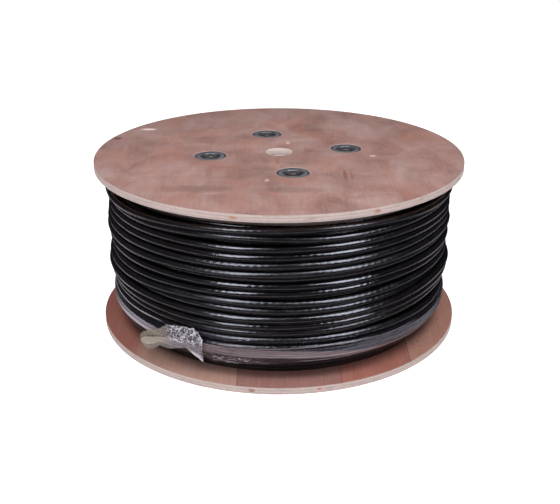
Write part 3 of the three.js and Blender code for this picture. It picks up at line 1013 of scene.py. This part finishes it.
def film_material(name, tint, warm_tint=(0, 0, 0, 1), thickest=0.8):
    """Clear film. The attribute "milk" clouds it, a second attribute paints white highlights on its creases
    and edges, and "warm" tints it.
    """
    nodes = Nodes(name)
    milk = nodes.attribute("milk")
    painted_glint = nodes.attribute("painted_glint")
    streak = nodes.noise((40, 40, 1.6), scale=1.4, detail=4, roughness=0.6)
    cloud = nodes.times(milk, nodes.fade(streak, 0.3, 0.7, thickest * 0.6, thickest))
    fold = nodes.noise((14, 14, 2.6), scale=1.5, detail=2, roughness=0.5, distortion=0.6)
    relief = nodes.bump(fold, 0.25, 0.3 * MM)
    shade = nodes.mix(nodes.attribute("warm"), tint, warm_tint)
    # Painted highlights: white along the film's creases and edges.
    shade = nodes.mix(painted_glint, shade, srgb(226, 222, 230))
    skin = nodes.principled(base_color=shade, roughness=0.3, normal=relief)
    clear = nodes.add("BsdfTransparent", {"Color": (0.95, 0.94, 0.95, 1)}).outputs["BSDF"]
    gloss = {"Color": (0.85, 0.90, 1.0, 1), "Roughness": 0.14, "Normal": relief}
    shine = nodes.add("BsdfGlossy", gloss).outputs["BSDF"]
    solid = nodes.math("MAXIMUM", cloud, nodes.times(painted_glint, 0.8), clamp=True)
    mixed = nodes.add("MixShader", {0: solid, 1: clear, 2: skin}).outputs["Shader"]
    fresnel = nodes.add("LayerWeight", {"Blend": 0.22, "Normal": relief}).outputs["Fresnel"]
    coated = nodes.add("MixShader", {0: nodes.math("MINIMUM", fresnel, MOST_GLOSS), 1: mixed, 2: shine})
    return nodes.finish(coated.outputs["Shader"])


# The film's free end: its outline and its fold, as azimuth, height and radius in millimetres
# along the coil, from the band leftwards.
TAIL_TOP = (
    (-23, 46.8, 191), (-24.2, 54, 191.5), (-25.5, 58.2, 192), (-27.5, 58, 192),
    (-30.2, 57, 192.5), (-32.9, 55.8, 193), (-35.5, 54.2, 193.5), (-37.9, 47.8, 195),
    (-41.1, 43.5, 196), (-44.5, 38, 196.5), (-46.1, 32.5, 196.5),
)
TAIL_FOLD = (
    (-23.1, 40.1, 191.2), (-24.3, 39.5, 192), (-26.1, 39.4, 192.8), (-28.1, 40.3, 193.4),
    (-30.1, 40.4, 194), (-32.2, 42.4, 195), (-34.4, 42.4, 196.5), (-37.2, 40.9, 198.2),
    (-40.3, 38, 199), (-43.4, 34.2, 199), (-45.5, 28.1, 198),
)
TAIL_BOTTOM = (
    (-23.1, 32.3, 190.2), (-23.7, 19.4, 186), (-24.9, 22.4, 187), (-27, 28.9, 189.5),
    (-28.8, 34.4, 191.5), (-31.5, 31.6, 192.5), (-34.6, 28.7, 193.5), (-37.9, 29.2, 194.5),
    (-40.2, 23.4, 195.5), (-42.8, 19.6, 196), (-45, 20.5, 196),
)
TAIL_COLUMNS = 121
TAIL_ROWS = 43
TAIL_REACH_MM = FLANGE_RADIUS / MM - 0.4  # just inside the flanges
TAIL_THICKNESS = 0.15 * MM


def make_tail():
    """The crumpled free end of the film: a root on the band, silvery with painted highlights, and a cream
    blade folded along it.
    """
    columns = np.linspace(0, len(TAIL_TOP) - 1, TAIL_COLUMNS)
    known = np.arange(len(TAIL_TOP))

    def curve(points):
        return np.stack([np.interp(columns, known, [p[k] for p in points]) for k in range(3)], -1)

    top, fold, bottom = curve(TAIL_TOP), curve(TAIL_FOLD), curve(TAIL_BOTTOM)
    half = TAIL_ROWS // 2
    points, milk, painted_glint, warm = [], [], [], []
    for i in range(TAIL_COLUMNS):
        outward = i / (TAIL_COLUMNS - 1)
        blade = min(max((outward - 0.52) / 0.16, 0), 1)
        for j in range(TAIL_ROWS):
            if j <= half:
                down = j / half
                azimuth, height, radius = top[i] + (fold[i] - top[i]) * down
            else:
                down = 1 + (j - half) / half
                azimuth, height, radius = fold[i] + (bottom[i] - fold[i]) * (down - 1)
            along = radians(azimuth) * radius
            coarse = crumple(along, height, 9.0, 1.0)
            fine = crumple(along * 1.3, height, 4.0, 5.0)
            wild = 1 - 0.9 * blade if down < 1.1 else 0.35 - 0.25 * blade
            radius += wild * (2.2 * (coarse - 0.3) + 1.6 * (fine - 0.3))
            height += wild * 1.4 * (crumple(height, along, 5.0, 9.0) - 0.3)
            radius = min(radius, TAIL_REACH_MM)
            azimuth = radians(azimuth)
            points.append((radius * sin(azimuth) * MM, -radius * cos(azimuth) * MM, height * MM))
            # Painted highlights: white along creases, fine hairs, the edges, the spike and the ridge of the
            # fold.
            crease = bell(crumple(along, height * 1.2, 4.5, 13.0), 0, 0.14)
            hair = bell(crumple(along * 1.2, height, 2.6, 21.0), 0, 0.2)
            root = 1 - blade
            shine = root * (0.9 * crease + 0.45 * hair) if down < 1 else 0.25 * crease
            edge = (bell(outward, 0.0, 0.10) if down < 1 else 0) + bell(down, 0.0, 0.12) * root
            spike = bell(down, 2.0, 0.5) * bell(outward, 0.2, 0.16)
            ridge = bell(down, 1.05, 0.16) * bell(outward, 0.46, 0.12)
            painted_glint.append(min(1.0, shine + 0.5 * edge + 3 * spike + 1.4 * ridge))
            cloud = 0.20 if down < 1 else 0.75
            leaf = 0.5 if down < 0.8 else 0.2 if down < 1 else 0.95 if down < 1.6 else 0.5
            clear_tip = 1 - 0.9 * min(1, 2 * bell(down, 2.0, 0.6) * bell(outward, 0.0, 0.14))
            milk.append((cloud * root + leaf * blade) * clear_tip)
            warm.append(blade if down < 1.65 else blade * 0.6)
    mesh = make_mesh("film_tail", points, grid_faces(TAIL_COLUMNS, TAIL_ROWS, False, False), 25)
    store(mesh, "milk", milk)
    store(mesh, "painted_glint", painted_glint)
    store(mesh, "warm", warm)
    mesh = with_modifier(mesh, "SOLIDIFY", thickness=TAIL_THICKNESS, offset=0.0)
    material = film_material("film_free_end", srgb(138, 128, 136), srgb(174, 162, 144), 0.95)
    add_piece("film_free_end", mesh, [material], ["film_tail"])


# Floor, lights and surroundings


FLOOR_HALF_WIDTH = 8.0


def make_floor():
    """The white ground, which glows so that it stays white outside the drum's soft shadow."""
    nodes = Nodes("floor")
    grain = nodes.noise((300, 300, 300), detail=2)
    colour = nodes.ramp(grain, [(0.3, (0.50, 0.50, 0.50)), (0.7, (0.53, 0.53, 0.53))])
    pale = nodes.principled(base_color=colour, roughness=0.9, emission_color=WHITE, emission_strength=0.95)
    material = nodes.finish(pale)
    half = FLOOR_HALF_WIDTH
    points = [(-half, -half, 0), (half, -half, 0), (half, half, 0), (-half, half, 0)]
    mesh = make_mesh("floor", points, [(0, 1, 2, 3)], 0)
    mesh.materials.append(material)
    floor = new_object("floor", mesh)
    floor.location.z = LOWER_LOW - 0.2 * MM
    floor.visible_glossy = False


# How bright the surroundings are in a reflection, by the ray's direction: its upward part, its
# part towards the back and its part towards the right, each from -1 to 1.
BAND_BY_HEIGHT = (
    (-1, 0.0), (-0.66, 0.0), (-0.56, 1.0), (-0.40, 1.0),
    (-0.30, 0.05), (0.2, 0.06), (0.5, 0.09), (1, 0.09),
)
BAND_BY_DEPTH = ((-1, 1.8), (-0.5, 1.9), (0.1, 1.25), (0.6, 0.95), (0.85, 0.35), (1, 0.1))
BAND_BY_SIDE = ((-1, 1.0), (-0.5, 1.0), (0.5, 0.75), (1, 0.5))
AMBIENT = 0.12
# Each light's azimuth, elevation, distance, width, height and power, and whether it only shines.
SOFTBOXES = {
    "left_softbox": (-49, 65, 1.6, 0.62, 0.80, 11.5, False),
    "right_softbox": (56, 65, 1.6, 0.72, 0.80, 12.5, False),
    "front_softbox": (0, 38, 1.8, 0.80, 0.60, 6.5, False),
    "left_shine": (-31, 46, 1.6, 0.44, 1.6, 32, True),
    "right_shine": (45, 46, 1.6, 0.56, 1.6, 42, True),
}


def softbox(name, azimuth, elevation, distance, width, height, power, shines):
    """A soft light for matt surfaces, or one that only shines in glossy ones."""
    data = bpy.data.lights.new(name, "AREA")
    data.shape = "RECTANGLE"
    data.size = width
    data.size_y = height
    data.energy = power
    data.color = (0.82, 0.86, 1.0) if shines else (1.0, 0.99, 0.99)
    light = new_object(name, data)
    light.visible_diffuse = not shines
    light.visible_glossy = shines
    a, e = radians(azimuth), radians(elevation)
    outward = Vector((sin(a) * cos(e), -cos(a) * cos(e), sin(e)))
    target = Vector((0, 0, COIL_MIDDLE_MM * MM))
    light.location = target + outward * distance
    light.rotation_euler = outward.to_track_quat("Z", "Y").to_euler()


def brightness_by(nodes, part, levels):
    """A near-white colour whose brightness follows one part of a ray's direction."""
    share = nodes.math("MULTIPLY_ADD", part, 0.5, 0.5)
    stops = [((at + 1) / 2, (level, level * 0.97, level)) for at, level in levels]
    return nodes.ramp(share, stops)


def make_surroundings():
    """Three soft lights for matt surfaces, two tall ones that shine, and the world round them.

    In reflections the world is a low pale band, less bright at the back. The camera sees it white.
    """
    nodes = Nodes("studio", is_world=True)
    direction = nodes.add("SeparateXYZ", {0: nodes.add("TexCoord").outputs["Generated"]}).outputs
    band = brightness_by(nodes, direction["Z"], BAND_BY_HEIGHT)
    for axis, levels in (("Y", BAND_BY_DEPTH), ("X", BAND_BY_SIDE)):
        band = nodes.mix(1.0, band, brightness_by(nodes, direction[axis], levels), "MULTIPLY")
    shine = nodes.add("Background", {"Color": band}).outputs[0]
    ambient = nodes.add("Background", {"Color": WHITE, "Strength": AMBIENT}).outputs[0]
    backdrop = nodes.add("Background", {"Color": WHITE}).outputs[0]
    rays = nodes.add("LightPath").outputs
    unseen = nodes.add("MixShader", {0: rays["Is Glossy Ray"], 1: ambient, 2: shine}).outputs[0]
    whole = nodes.add("MixShader", {0: rays["Is Camera Ray"], 1: unseen, 2: backdrop}).outputs[0]
    bpy.context.scene.world = nodes.finish(whole)
    for name, settings in SOFTBOXES.items():
        softbox(name, *settings)
    bpy.context.scene.view_settings.view_transform = "Standard"


make_camera()
make_floor()
make_surroundings()
make_boards()
make_fasteners()
turn_angles, turn_heights, turn_radii = make_cable()
make_film_band(turn_angles, turn_heights, turn_radii)
make_tail()
